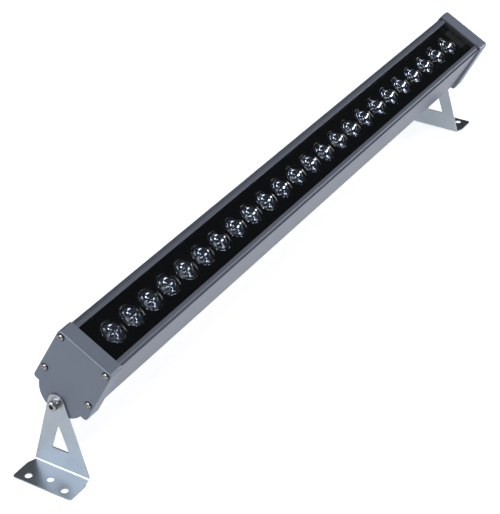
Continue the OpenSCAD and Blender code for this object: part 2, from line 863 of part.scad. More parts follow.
module driver_transformer() {
    half = transformer_side / 2;
    color([0.75, 0.62, 0.20]) on_bar() {
        bar_box(transformer_x - half, transformer_side, half - transformer_winding,
                driver_parts_depth, driver_parts_depth + transformer_height);
        bar_box(transformer_x - half + transformer_winding, transformer_side - 2 * transformer_winding,
                half, driver_parts_depth + transformer_winding / 2,
                driver_parts_depth + transformer_height - transformer_winding / 2);
    }
}

module driver_capacitors() {
    color([0.15, 0.15, 0.20]) on_bar() for (i = [0 : capacitor_count - 1])
        translate([capacitor_x + i * capacitor_step, 0, up(driver_parts_depth + capacitor_height)])
            cylinder(d = capacitor_diameter, h = capacitor_height);
}

module driver_terminals() {
    color([0.16, 0.45, 0.25]) on_bar() bar_box(driver_x1 - terminal_length, terminal_length,
        driver_inner_half - inner_clearance, driver_parts_depth, driver_parts_depth + terminal_height);
}

module driver_board_screws() {
    color([0.72, 0.72, 0.74]) on_bar() driver_post_places()
        translate([0, 0, -driver_board_thickness]) mirror([0, 0, 1])
            cross_screw(small_screw_diameter, small_screw_head, small_screw_head_height,
                        driver_post_height + driver_board_thickness - slide_play);
}

module driver_mount_screws() {
    color([0.72, 0.72, 0.74]) on_bar() driver_mount_places()
        translate([0, 0, overrun - driver_wall]) mirror([0, 0, 1])
            cross_screw(small_screw_diameter, small_screw_head, small_screw_head_height,
                        web_thickness + driver_wall);
}

// Cable gland

module gland_hexagon(length) {
    cylinder(d = gland_flats * gland_corner_ratio, h = length, $fn = 6);
}

module gland_body() {
    stub = gland_stub_length;
    color([0.12, 0.12, 0.13]) on_bar() difference() {
        union() {
            point_along(gland_flange_x, 0, gland_depth) gland_hexagon(gland_flange);
            point_along(gland_flange_x - stub, 0, gland_depth) cylinder(d = gland_thread, h = stub);
            point_along(gland_neck_x, 0, gland_depth) cylinder(r = gland_neck_radius, h = gland_neck);
        }
        point_along(gland_flange_x - stub - overrun, 0, gland_depth)
            cylinder(r = gland_bore_radius, h = stub + gland_flange + gland_neck + 2 * overrun);
        point_along(gland_seal_x, 0, gland_depth)
            cylinder(r = gland_seal_radius + thread_clearance, h = gland_seal_length + overrun);
    }
}

module gland_locknut() {
    color([0.14, 0.14, 0.15]) on_bar() difference() {
        point_along(cap_face - cap_wall - gland_locknut_height, 0, gland_depth)
            gland_hexagon(gland_locknut_height);
        point_along(cap_face - cap_wall - gland_locknut_height - overrun, 0, gland_depth)
            cylinder(r = gland_thread / 2 + thread_clearance, h = gland_locknut_height + 2 * overrun);
    }
}

module gland_washer() {
    color([0.06, 0.06, 0.06]) on_bar() point_along(cap_face, 0, gland_depth)
        washer(gland_flats, gland_thread + 2 * hole_clearance, gland_washer_thickness);
}

module gland_seal() {
    color([0.07, 0.07, 0.07]) on_bar() point_along(gland_seal_x, 0, gland_depth)
        washer(2 * gland_seal_radius, cable_hole, gland_seal_length);
}

module gland_dome_nut() {
    skirt = gland_nut_length / 2;
    dome_radius = gland_flats / 2;
    color([0.12, 0.12, 0.13]) on_bar() difference() {
        union() {
            point_along(gland_nut_x, 0, gland_depth) gland_hexagon(skirt);
            point_along(gland_nut_x, 0, gland_depth) rotate_extrude()
                polygon(concat([[0, 0], [dome_radius, 0]],
                               edge_arc(dome_radius, gland_nut_length, skirt / 2),
                               [[0, gland_nut_length]]));
        }
        point_along(gland_nut_x - overrun, 0, gland_depth)
            cylinder(r = gland_neck_radius + thread_clearance,
                     h = gland_nut_length - gland_nut_mouth + overrun);
        point_along(gland_nut_x, 0, gland_depth)
            cylinder(r = cable_hole / 2 + cable_nut_clearance, h = gland_nut_length + overrun);
    }
}

// Brackets and pivots

module bracket_upright() {
    half = bracket_width / 2;
    corner = [half, bend_height];
    top = [0, pivot_height];
    angle = tangent_angle(corner, top, bracket_top_radius);
    touch = bracket_top_radius * [cos(angle), sin(angle)];
    r = bracket_window_radius;
    difference() {
        union() {
            polygon([[-half, bend_height], corner, top + touch, top + [-touch[0], touch[1]]]);
            translate(top) circle(r = bracket_top_radius, $fn = 96);
        }
        translate(top) circle(r = bracket_bore);
        round_outline([[r - bracket_window_width / 2, bracket_window_base + r],
                       [bracket_window_width / 2 - r, bracket_window_base + r],
                       [0, bracket_window_tip - r]], r);
    }
}

module bracket_foot() {
    r = foot_corner_radius;
    half = foot_width / 2;
    difference() {
        union() {
            polygon([[bend_x, -bracket_width / 2], [plate_face_x + foot_flare, -half],
                     [foot_end_x - r, -half], [foot_end_x, r - half], [foot_end_x, half - r],
                     [foot_end_x - r, half], [plate_face_x + foot_flare, half],
                     [bend_x, bracket_width / 2]]);
            for (y = [r - half, half - r]) translate([foot_end_x - r, y]) circle(r = r);
        }
        for (y = [-foot_hole_spacing / 2, foot_hole_spacing / 2])
            translate([plate_face_x + foot_hole_reach, y]) circle(d = foot_hole_diameter);
        translate([plate_face_x + foot_middle_reach, 0]) circle(d = foot_hole_diameter);
    }
}

module bracket_bend() {
    translate([0, bracket_width / 2, 0]) rotate([90, 0, 0]) linear_extrude(height = bracket_width)
        translate([bend_x, bend_height]) intersection() {
            difference() {
                circle(r = bend_radius + sheet);
                circle(r = bend_radius);
            }
            translate([-bend_radius - sheet, -bend_radius - sheet]) square(bend_radius + sheet);
        }
}

module bracket() {
    along_bar(plate_x, sheet) bracket_upright();
    bracket_bend();
    linear_extrude(height = sheet) bracket_foot();
}

module left_bracket() {
    color([0.68, 0.73, 0.80]) at_left() bracket();
}

module right_bracket() {
    color([0.68, 0.73, 0.80]) bracket();
}

module pivot_bolt() {
    socket = pivot_socket_width * gland_corner_ratio;
    reach = bolt_head_x - cap_face + pivot_bite;
    point_along(bolt_head_x, 0, pivot_depth) difference() {
        union() {
            rotate_extrude() polygon(concat([[0, 0], [pivot_head_diameter / 2, 0]],
                edge_arc(pivot_head_diameter / 2, pivot_head_height, pivot_head_height / 10),
                [[0, pivot_head_height]]));
            translate([0, 0, -reach]) cylinder(r = bolt_radius, h = reach + pivot_head_height / 4);
        }
        translate([0, 0, pivot_head_height - pivot_socket_depth])
            cylinder(d = socket, h = pivot_socket_depth + overrun, $fn = 6);
    }
}

module pivot_washer() {
    point_along(plate_face_x, 0, pivot_depth)
        washer(pivot_washer_diameter, 2 * (bolt_radius + hole_clearance), pivot_washer_thickness);
}

module friction_washer() {
    point_along(cap_face, 0, pivot_depth)
        washer(friction_washer_diameter, 2 * (bolt_radius + hole_clearance), friction_washer_thickness);
}

module left_pivot_bolt() {
    color([0.60, 0.60, 0.62]) on_bar() at_left() pivot_bolt();
}

module right_pivot_bolt() {
    color([0.60, 0.60, 0.62]) on_bar() pivot_bolt();
}

module left_pivot_washer() {
    color([0.72, 0.74, 0.78]) on_bar() at_left() pivot_washer();
}

module right_pivot_washer() {
    color([0.72, 0.74, 0.78]) on_bar() pivot_washer();
}

module left_friction_washer() {
    color([0.10, 0.10, 0.10]) on_bar() at_left() friction_washer();
}

module right_friction_washer() {
    color([0.10, 0.10, 0.10]) on_bar() friction_washer();
}

housing_extrusion();
left_end_cap();
right_end_cap();
left_cap_gasket();
right_cap_gasket();
left_cap_screws();
right_cap_screws();
left_cap_washers();
right_cap_washers();
front_glass();
glass_seals();
lens_tray();
lenses();
lens_holders();
led_boards();
leds();
board_screws();
board_connector();
board_link();
led_wires();
driver_case();
driver_cover();
driver_board();
driver_transformer();
driver_capacitors();
driver_terminals();
driver_board_screws();
driver_mount_screws();
gland_body();
gland_locknut();
gland_washer();
gland_seal();
gland_dome_nut();
left_bracket();
right_bracket();
left_pivot_bolt();
right_pivot_bolt();
left_pivot_washer();
right_pivot_washer();
left_friction_washer();
right_friction_washer();
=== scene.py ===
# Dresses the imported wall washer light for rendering, in metres
import json
from math import acos, atan2, cos, degrees, hypot, pi, radians, sin, tan

import bmesh
import bpy
from mathutils import Matrix, Vector


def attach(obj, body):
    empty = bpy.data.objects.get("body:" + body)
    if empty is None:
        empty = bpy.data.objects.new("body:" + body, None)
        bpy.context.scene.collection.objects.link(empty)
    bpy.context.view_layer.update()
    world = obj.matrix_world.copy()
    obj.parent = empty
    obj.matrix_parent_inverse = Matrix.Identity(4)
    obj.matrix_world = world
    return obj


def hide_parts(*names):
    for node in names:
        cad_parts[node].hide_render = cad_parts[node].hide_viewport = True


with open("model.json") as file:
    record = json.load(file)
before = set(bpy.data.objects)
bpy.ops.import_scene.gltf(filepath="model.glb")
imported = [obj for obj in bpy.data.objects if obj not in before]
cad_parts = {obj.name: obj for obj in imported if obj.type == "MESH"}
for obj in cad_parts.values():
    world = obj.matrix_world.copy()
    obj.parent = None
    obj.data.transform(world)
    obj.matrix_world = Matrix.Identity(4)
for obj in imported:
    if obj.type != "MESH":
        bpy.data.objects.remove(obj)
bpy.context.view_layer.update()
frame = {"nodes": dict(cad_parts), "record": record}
print("frame loaded:", len(frame["nodes"]), "nodes")

mm = 0.001
# points closer than this are one
weld = 0.002 * mm

# How the bar hangs between its feet
bar = {
    "tilt": radians(28.5),
    "pivotHeight": 101 * mm,
    "pivotDepth": 98 * mm,
    "capFace": 500 * mm,
    "housingEnd": 476.5 * mm,
}

# Radii are from each lens's own axis, top and board depth are behind the rails
lens = {
    "count": 24,
    "pitch": 38.2 * mm,
    "top": 7.2 * mm,
    "height": 14 * mm,
    "flangeRadius": 15.25 * mm,
    "flangeThickness": 2 * mm,
    "rimRounding": 0.5 * mm,
    "rimMiddle": 0.15 * mm,
    "bowlRadius": 13.25 * mm,
    "footRadius": 6 * mm,
    "bulge": 1.1 * mm,
    "wallSteps": 12,
    "cupRadius": 3.5 * mm,
    "cupDepth": 5 * mm,
    "cupSteps": 8,
    "dishRadius": 6.5 * mm,
    "dishDepth": 0.5 * mm,
    "dishAngle": radians(40),
    "dishSteps": 8,
    "mirrorBelowFlange": 0.05 * mm,
    "mirrorAboveFoot": 0.1 * mm,
    "holderRadius": 15.55 * mm,
    "holderGap": 0.25 * mm,
    "boardDepth": 23.4 * mm,
    "spinSteps": 64,
    "smooth": 28,
}

view = {
    "place": (-1.71548, -1.03408, 1.31358),
    "turn": (57.27474, 0.79811, -58.37353),
    "lens": 118.42,
}


# Shared mesh steps

def barMatrix():
    lift = Matrix.Translation((0, 0, bar["pivotHeight"]))
    lean = Matrix.Rotation(bar["tilt"], 4, "X")
    return lift @ lean @ Matrix.Translation((0, 0, bar["pivotDepth"]))


def ontoBar(bm):
    # a piece drawn with z = minus its depth behind the rails goes into place
    bmesh.ops.transform(bm, matrix=barMatrix(), verts=bm.verts)


def finishPiece(name, bm, body, slot, node, smooth=30):
    bmesh.ops.recalc_face_normals(bm, faces=bm.faces)
    mesh = bpy.data.meshes.new(name)
    bm.to_mesh(mesh)
    bm.free()
    mesh.shade_smooth()
    mesh.set_sharp_from_angle(angle=radians(smooth))
    mesh.materials.append(finishes[slot])
    piece = bpy.data.objects.new(name, mesh)
    bpy.context.scene.collection.objects.link(piece)
    # keeps big flat faces flat beside their rounded edges
    flatten = piece.modifiers.new("flatFaces", "WEIGHTED_NORMAL")
    flatten.keep_sharp = True
    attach(piece, body)
    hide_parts(node)
    return piece


def bevelEdges(bm, edges, width, segments):
    bmesh.ops.bevel(bm, geom=edges, offset=width, offset_type="OFFSET", affect="EDGES",
                    segments=segments, profile=0.5, material=-1, clamp_overlap=True)


def sharpEdges(bm, angle):
    shared = [e for e in bm.edges if len(e.link_faces) == 2]
    return [e for e in shared if e.calc_face_angle(0) > radians(angle)]


def closedEdges(bm, verts):
    following = verts[1:] + verts[:1]
    return [bm.edges.new(pair) for pair in zip(verts, following)]


def spinProfile(bm, points, steps, matrix=Matrix()):
    # points are (radius, height) pairs round the local z axis, closed on themselves
    verts = [bm.verts.new(matrix @ Vector((r, 0, h))) for r, h in points]
    edges = closedEdges(bm, verts)
    before = set(bm.verts) - set(verts)
    axis = matrix.to_3x3() @ Vector((0, 0, 1))
    bmesh.ops.spin(bm, geom=verts + edges, cent=matrix.to_translation(), axis=axis,
                   angle=2 * pi, steps=steps, use_merge=True)
    made = [v for v in bm.verts if v not in before]
    bmesh.ops.remove_doubles(bm, verts=made, dist=weld)
    # a profile that closes along the axis leaves a bare edge there
    bmesh.ops.delete(bm, geom=[e for e in bm.edges if e.is_wire], context="EDGES")


def arc(centre, radius, start, end, steps):
    angles = [radians(start + (end - start) * i / steps) for i in range(steps + 1)]
    return [(centre[0] + radius * cos(a), centre[1] + radius * sin(a)) for a in angles]


def alongBar(x, depth, side):
    # local z points out of the bar's end on that side
    return Matrix.Translation((side * x, 0, -depth)) @ Matrix.Rotation(side * pi / 2, 4, "Y")


# Finishes

grainHeight = 0.02 * mm


def newFinish(name, colour, roughness, metallic=0.0, edge=(1, 1, 1)):
    material = bpy.data.materials.new(name)
    material.use_nodes = True
    shader = material.node_tree.nodes["Principled BSDF"]
    shader.inputs["Base Color"].default_value = (*colour, 1)
    shader.inputs["Roughness"].default_value = roughness
    shader.inputs["Metallic"].default_value = metallic
    shader.inputs["Specular Tint"].default_value = (*edge, 1)
    return material, material.node_tree, shader


def addNode(tree, kind, **values):
    node = tree.nodes.new(kind)
    for key, value in values.items():
        node.inputs[key.replace("_", " ")].default_value = value
    return node


def mathNode(tree, kind, operation, *values):
    # an output is linked to its socket, a number or vector is set on it
    node = tree.nodes.new(kind)
    node.operation = operation
    for socket, value in zip(node.inputs, values):
        if isinstance(value, bpy.types.NodeSocket):
            tree.links.new(value, socket)
        else:
            socket.default_value = value
    return node


def objectNoise(tree, scale, detail, stretch=(1, 1, 1)):
    place = tree.nodes.new("ShaderNodeTexCoord")
    mapping = addNode(tree, "ShaderNodeMapping", Scale=stretch)
    noise = addNode(tree, "ShaderNodeTexNoise", Scale=scale, Detail=detail)
    tree.links.new(place.outputs["Object"], mapping.inputs["Vector"])
    tree.links.new(mapping.outputs["Vector"], noise.inputs["Vector"])
    return noise


def varyRoughness(tree, shader, noise, low, high):
    spread = addNode(tree, "ShaderNodeMapRange", To_Min=low, To_Max=high)
    tree.links.new(noise.outputs["Fac"], spread.inputs["Value"])
    tree.links.new(spread.outputs["Result"], shader.inputs["Roughness"])


def varyColour(tree, shader, noise, colour, dark, light):
    ramp = tree.nodes.new("ShaderNodeValToRGB")
    for element, position, share in zip(ramp.color_ramp.elements, (0.3, 0.7), (dark, light)):
        element.position = position
        element.color = (*(c * share for c in colour), 1)
    tree.links.new(noise.outputs["Fac"], ramp.inputs["Fac"])
    tree.links.new(ramp.outputs["Color"], shader.inputs["Base Color"])


def addGrain(tree, shader, noise, strength):
    bump = addNode(tree, "ShaderNodeBump", Strength=strength, Distance=grainHeight)
    tree.links.new(noise.outputs["Fac"], bump.inputs["Height"])
    tree.links.new(bump.outputs["Normal"], shader.inputs["Normal"])


def paintFinish(name, colour, roughness, metallic, grain):
    # fine silver-grey powder coat
    edge = (0.46, 0.51, 0.60)
    material, tree, shader = newFinish(name, colour, roughness, metallic, edge)
    shader.inputs["Specular IOR Level"].default_value = 0.3
    fine = objectNoise(tree, scale=1800, detail=2)
    broad = objectNoise(tree, scale=14, detail=2)
    varyColour(tree, shader, broad, colour, 0.97, 1.03)
    varyRoughness(tree, shader, fine, roughness - 0.06, roughness + 0.06)
    addGrain(tree, shader, fine, grain)
    return material


def steelFinish(name, colour, roughness, stretch=(1, 1, 1), metallic=1.0):
    material, tree, shader = newFinish(name, colour, roughness, metallic)
    lines = objectNoise(tree, scale=60, detail=4, stretch=stretch)
    clouds = objectNoise(tree, scale=30, detail=3)
    varyColour(tree, shader, clouds, colour, 0.95, 1.03)
    varyRoughness(tree, shader, lines, roughness - 0.05, roughness + 0.07)
    addGrain(tree, shader, lines, 0.12)
    return material


def mouldedFinish(name, colour, roughness, grain=0.1, gloss=0.5):
    material, tree, shader = newFinish(name, colour, roughness)
    shader.inputs["Specular IOR Level"].default_value = gloss
    fine = objectNoise(tree, scale=900, detail=2)
    varyRoughness(tree, shader, fine, roughness - 0.05, roughness + 0.05)
    addGrain(tree, shader, fine, grain)
    return material


def windowFinish(name):
    # a see-through skin that keeps the gloss of glass
    material, tree, shader = newFinish(name, (0.006, 0.007, 0.009), 0.03)
    shader.inputs["Alpha"].default_value = 0.14
    shader.inputs["IOR"].default_value = 1.42
    smear = objectNoise(tree, scale=9, detail=2, stretch=(0.4, 1, 1))
    varyRoughness(tree, shader, smear, 0.01, 0.03)
    return material


def lensFinish(name):
    # clear moulded optics whose curved wall, behind the flange, mirrors the light inwards
    material, tree, shader = newFinish(name, (0.86, 0.90, 0.97), 0.01)
    shader.inputs["IOR"].default_value = 1.49
    mirrorStart = -lens["top"] - lens["flangeThickness"] - lens["mirrorBelowFlange"]
    mirrorEnd = -lens["top"] - lens["height"] + lens["mirrorAboveFoot"]
    toBar, outwards = barMatrix().to_translation(), barMatrix().to_3x3() @ Vector((0, 0, 1))
    place = tree.nodes.new("ShaderNodeTexCoord").outputs["Object"]
    lift = mathNode(tree, "ShaderNodeVectorMath", "SUBTRACT", place, toBar)
    along = mathNode(tree, "ShaderNodeVectorMath", "DOT_PRODUCT", lift.outputs["Vector"], outwards)
    height = along.outputs["Value"]
    behind = mathNode(tree, "ShaderNodeMath", "LESS_THAN", height, mirrorStart)
    before = mathNode(tree, "ShaderNodeMath", "GREATER_THAN", height, mirrorEnd)
    wall = mathNode(tree, "ShaderNodeMath", "MULTIPLY", behind.outputs["Value"],
                    before.outputs["Value"])
    clear = mathNode(tree, "ShaderNodeMath", "SUBTRACT", 1, wall.outputs["Value"])
    tree.links.new(wall.outputs["Value"], shader.inputs["Metallic"])
    tree.links.new(clear.outputs["Value"], shader.inputs["Transmission Weight"])
    clouds = objectNoise(tree, scale=120, detail=2)
    varyRoughness(tree, shader, clouds, 0.0, 0.03)
    return material


finishes = {
    "housing_paint": paintFinish("housingPaint", (0.130, 0.142, 0.178), 0.38,
                                 metallic=0.42, grain=0.10),
    "cap_paint": paintFinish("capPaint", (0.156, 0.178, 0.225), 0.42,
                             metallic=0.28, grain=0.12),
    # black rubber sealing washers under the cap screws, kept this dark partly as painted shade in
    # the screw recesses
    "black_rubber": mouldedFinish("blackRubberWithRecessShade", (0.012, 0.012, 0.013), 0.6),
    "screw_steel": steelFinish("screwSteel", (0.22, 0.215, 0.21), 0.18),
    "window_glass": windowFinish("windowGlass"),
    "tray_black": mouldedFinish("trayBlack", (0.0022, 0.0022, 0.0026), 0.16,
                                grain=0.02, gloss=0.6),
    "lens_clear": lensFinish("lensClear"),
    "holder_black": mouldedFinish("holderBlack", (0.015, 0.015, 0.016), 0.5),
    "board_white": mouldedFinish("boardWhite", (0.62, 0.66, 0.74), 0.45),
    "led_yellow": mouldedFinish("ledYellow", (0.66, 0.58, 0.26), 0.25, grain=0.02),
    "connector_grey": mouldedFinish("connectorGrey", (0.020, 0.022, 0.025), 0.38),
    "link_white": mouldedFinish("linkWhite", (0.80, 0.79, 0.74), 0.45),
    "wire_red": mouldedFinish("wireRed", (0.40, 0.02, 0.02), 0.45),
    "driver_metal": steelFinish("driverMetal", (0.72, 0.73, 0.75), 0.32, stretch=(1, 20, 20)),
    "board_green": mouldedFinish("boardGreen", (0.02, 0.18, 0.06), 0.35, grain=0.03),
    "transformer_core": mouldedFinish("transformerCore", (0.50, 0.36, 0.06), 0.5),
    "capacitor_sleeve": mouldedFinish("capacitorSleeve", (0.02, 0.02, 0.05), 0.3),
    "terminal_green": mouldedFinish("terminalGreen", (0.03, 0.24, 0.08), 0.45),
    "gland_black": mouldedFinish("glandBlack", (0.016, 0.016, 0.018), 0.42),
    "bracket_steel": steelFinish("bracketSteel", (0.300, 0.335, 0.378), 0.33,
                                 stretch=(20, 1, 20), metallic=0.92),
    "bolt_steel": steelFinish("boltSteel", (0.27, 0.265, 0.27), 0.24),
    "friction_black": mouldedFinish("frictionBlack", (0.012, 0.012, 0.012), 0.5),
}

for part in frame["record"]["subparts"]:
    node = frame["nodes"][part["node"]]
    node.data.materials.clear()
    node.data.materials.append(finishes[part["material_slot"]])
print("finishes:", len(finishes))


# Castings and extrusions, softened from their solids

rails = {
    "slopeEnd": 36.1 * mm,
    "slopeDrop": 1 * mm,
    "slopeDeeper": 0.9 * mm,
    "innerEdge": 29.1 * mm,
    "innerRounding": 0.7 * mm,
    "tolerance": 0.05 * mm,
}


def crispRails(bm):
    # the outer slope of each rail gets steeper, and its inner edge a fine rounding
    toWorld = barMatrix()
    toBar = toWorld.inverted()
    near = rails["tolerance"]
    inner = set()
    for v in bm.verts:
        p = toBar @ v.co
        if abs(p.z) < near and abs(abs(p.y) - rails["innerEdge"]) < near:
            inner.add(v)
        elif abs(p.z + rails["slopeDrop"]) < near and abs(abs(p.y) - rails["slopeEnd"]) < near:
            p.z -= rails["slopeDeeper"]
            v.co = toWorld @ p
    between = [e for e in bm.edges if inner.issuperset(e.verts)]
    fullLength = [e for e in between if e.calc_length() > bar["housingEnd"]]
    bevelEdges(bm, fullLength, rails["innerRounding"], 3)


def softenedNode(name, node, slot, angle, width, reshape=None):
    bm = bmesh.new()
    bm.from_mesh(frame["nodes"][node].data)
    bmesh.ops.remove_doubles(bm, verts=bm.verts, dist=weld)
    bmesh.ops.dissolve_limit(bm, angle_limit=radians(0.4), verts=bm.verts, edges=bm.edges)
    if reshape:
        reshape(bm)
    bevelEdges(bm, sharpEdges(bm, angle), width, 2)
    return finishPiece(name, bm, "light_bar", slot, node)


# node, slot, least angle in degrees between the faces of a softened edge, its width
softened = {
    "housing": ("housing_extrusion", "housing_paint", 25, 0.15 * mm, crispRails),
    "leftCap": ("left_end_cap", "cap_paint", 50, 0.35 * mm),
    "rightCap": ("right_end_cap", "cap_paint", 50, 0.35 * mm),
    "lensTray": ("lens_tray", "tray_black", 40, 0.12 * mm),
    "boardConnector": ("board_connector", "connector_grey", 40, 0.5 * mm),
    "leftCapScrews": ("left_cap_screws", "screw_steel", 50, 0.1 * mm),
    "rightCapScrews": ("right_cap_screws", "screw_steel", 50, 0.1 * mm),
    # the cap washers are black rubber and are also dark as painted shade round the cap screw heads
    "leftCapWashers": ("left_cap_washers", "black_rubber", 50, 0.12 * mm),
    "rightCapWashers": ("right_cap_washers", "black_rubber", 50, 0.12 * mm),
    "glandBody": ("gland_body", "gland_black", 50, 0.25 * mm),
    "glandDomeNut": ("gland_dome_nut", "gland_black", 50, 0.25 * mm),
    "driverCase": ("driver_case", "driver_metal", 50, 0.15 * mm),
    "driverCover": ("driver_cover", "driver_metal", 50, 0.15 * mm),
}

for name, row in softened.items():
    softenedNode(name, *row)
print("softened pieces:", len(softened))


# Front glass

glass = {
    "halfWidth": 30.6 * mm,
    "top": 2.2 * mm,
    "bottom": 6.2 * mm,
    "edge": 0.4 * mm,
}


def makeGlass():
    size = (2 * bar["housingEnd"], 2 * glass["halfWidth"], glass["bottom"] - glass["top"])
    middle = -(glass["top"] + glass["bottom"]) / 2
    bm = bmesh.new()
    bmesh.ops.create_cube(bm, size=1)
    bmesh.ops.scale(bm, verts=bm.verts, vec=size)
    bmesh.ops.translate(bm, verts=bm.verts, vec=(0, 0, middle))
    bevelEdges(bm, list(bm.edges), glass["edge"], 2)
    ontoBar(bm)
    return finishPiece("frontGlass", bm, "light_bar", "window_glass", "front_glass")


makeGlass()
print("glass made")


# Lenses: clear bodies with a curved wall that mirrors inwards, in black holders

def lensDish():
    # a shallow hollow in the front, part of a ball
    full = lens["dishAngle"]
    points = []
    for i in range(lens["dishSteps"] + 1):
        a = full * i / lens["dishSteps"]
        depth = lens["dishDepth"] * (cos(a) - cos(full)) / (1 - cos(full))
        points.append((lens["dishRadius"] * sin(a) / sin(full), -lens["top"] - depth))
    return points


def lensWall(out):
    # from under the flange down to the foot, bowed outwards like a bowl
    start, end = lens["flangeThickness"], lens["height"]
    wide, narrow = lens["bowlRadius"], lens["footRadius"]
    points = []
    for i in range(lens["wallSteps"] + 1):
        t = i / lens["wallSteps"]
        bow = lens["bulge"] * sin(pi * t)
        radius = wide + (narrow - wide) * t + bow + out
        points.append((radius, -lens["top"] - start - (end - start) * t))
    return points


def lensProfile():
    top, r = -lens["top"], lens["flangeRadius"]
    rounding, middle = lens["rimRounding"], lens["rimMiddle"]
    rim = [(r - rounding, top), (r - middle, top - middle), (r, top - rounding),
           (r, top - lens["flangeThickness"])]
    foot = top - lens["height"]
    cupRadius = lens["cupRadius"]
    cupMiddle = foot + lens["cupDepth"] - cupRadius
    cup = [(cupRadius, foot)] + arc((0, cupMiddle), cupRadius, 0, 90, lens["cupSteps"])
    return lensDish() + rim + lensWall(0) + cup


def holderProfile():
    inner = lensWall(lens["holderGap"])
    outer, low, high = lens["holderRadius"], -lens["boardDepth"], inner[0][1]
    return inner + [(inner[-1][0], low), (outer, low), (outer, high)]


def makeLenses(name, profile, slot, node):
    bm = bmesh.new()
    for i in range(lens["count"]):
        x = (i - (lens["count"] - 1) / 2) * lens["pitch"]
        spinProfile(bm, profile, lens["spinSteps"], Matrix.Translation((x, 0, 0)))
    ontoBar(bm)
    return finishPiece(name, bm, "light_bar", slot, node, smooth=lens["smooth"])


makeLenses("lenses", lensProfile(), "lens_clear", "lenses")
makeLenses("lensHolders", holderProfile(), "holder_black", "lens_holders")
print("lenses made:", lens["count"])


# Brackets: one flat blank, cut, folded and given its thickness

bracket = {
    "plate": 500.5 * mm,
    "sheet": 2 * mm,
    "bendRadius": 3 * mm,
    "bendSteps": 10,
    "topRadius": 12 * mm,
    "topSteps": 24,
    "halfWidth": 40 * mm,
    "footHalf": 43.5 * mm,
    "footLength": 41.5 * mm,
    "flare": 12 * mm,
    "cornerRadius": 3.5 * mm,
    "cornerSteps": 6,
    "hole": 4.5 * mm,
    "holeSpacing": 54 * mm,
    "holeReach": 31 * mm,
    "middleReach": 23 * mm,
    "bore": 4.08 * mm,
    "windowBase": 30 * mm,
    "windowTip": 69.5 * mm,
    "windowHalf": 12.75 * mm,
    "windowRadius": 1.5 * mm,
    "edge": 0.3 * mm,
    "tolerance": 0.01 * mm,
    "smooth": 35,
}
bracket["rise"] = bracket["sheet"] + bracket["bendRadius"]
bracket["bendLength"] = bracket["bendRadius"] * pi / 2
bracket["pivot"] = bar["pivotHeight"] - bracket["rise"]


def drawLoop(bm, points):
    return closedEdges(bm, [bm.verts.new((0, y, v)) for y, v in points])


def roundTriangle(corners, radius, steps=5):
    # corners in turning order; each is rounded by an arc about its own centre
    points = []
    for i, corner in enumerate(corners):
        here = Vector(corner)
        back = (Vector(corners[i - 1]) - here).normalized()
        ahead = (Vector(corners[(i + 1) % 3]) - here).normalized()
        half = back.angle(ahead) / 2
        centre = here + (back + ahead).normalized() * radius / sin(half)
        start = here + back * radius / tan(half) - centre
        end = here + ahead * radius / tan(half) - centre
        first = atan2(start.y, start.x)
        turn = (atan2(end.y, end.x) - first + pi) % (2 * pi) - pi
        points += arc(centre, radius, degrees(first), degrees(first + turn), steps)
    return points


def circlePoints(centre, radius, count=48):
    return arc(centre, radius, 0, 360 - 360 / count, count - 1)


def blankOutline():
    # v runs up the plate from the bend's neutral start, and down it to the tip of the foot
    b = bracket
    top, half, foot, r = b["pivot"], b["halfWidth"], b["footHalf"], b["cornerRadius"]
    lean = degrees(atan2(-top, half) + acos(b["topRadius"] / hypot(half, top)))
    crown = arc((0, top), b["topRadius"], lean, 180 - lean, b["topSteps"])
    tip = -b["bendLength"] - b["footLength"] + b["bendRadius"]
    flareEnd = -b["bendLength"] - b["flare"] + b["bendRadius"]
    left = [(-half, 0), (-half, -b["bendLength"]), (-foot, flareEnd)]
    left += arc((r - foot, tip + r), r, 180, 270, b["cornerSteps"])
    right = [(-y, v) for y, v in reversed(left)]
    return crown + left + right


def foldPoint(place):
    # the plate stays upright, the bend turns, and the foot runs outwards
    b = bracket
    v = place.z
    if v >= 0:
        return Vector((0, place.y, b["rise"] + v))
    radius = b["bendRadius"]
    angle = min(-v / b["bendLength"], 1) * pi / 2
    over = max(-v - b["bendLength"], 0)
    return Vector((radius * (1 - cos(angle)) + over, place.y, b["rise"] - radius * sin(angle)))


def drawBlank(bm):
    b = bracket
    base, tip, half = b["windowBase"] - b["rise"], b["windowTip"] - b["rise"], b["windowHalf"]
    footStart = b["bendRadius"] - b["bendLength"]
    spacing = b["holeSpacing"] / 2
    edges = drawLoop(bm, blankOutline())
    edges += drawLoop(bm, circlePoints((0, b["pivot"]), b["bore"]))
    edges += drawLoop(bm, roundTriangle([(-half, base), (half, base), (0, tip)],
                                        b["windowRadius"]))
    for y, reach in ((-spacing, b["holeReach"]), (spacing, b["holeReach"]), (0, b["middleReach"])):
        edges += drawLoop(bm, circlePoints((y, footStart - reach), b["hole"]))
    bmesh.ops.triangle_fill(bm, edges=edges, use_beauty=True, normal=(1, 0, 0))


def creaseBend(bm):
    # cuts across the bend only, and joins the flat parts again
    length, near = bracket["bendLength"], bracket["tolerance"]
    for i in range(bracket["bendSteps"] + 1):
        cut = (0, 0, -length * i / bracket["bendSteps"])
        bmesh.ops.bisect_plane(bm, geom=bm.verts[:] + bm.edges[:] + bm.faces[:],
                               dist=near / 100, plane_co=cut, plane_no=(0, 0, 1))
    flat = [e for e in bm.edges
            if all(v.co.z > near or v.co.z < -length - near for v in e.verts)]
    bmesh.ops.dissolve_limit(bm, angle_limit=radians(0.1), verts=[], edges=flat)


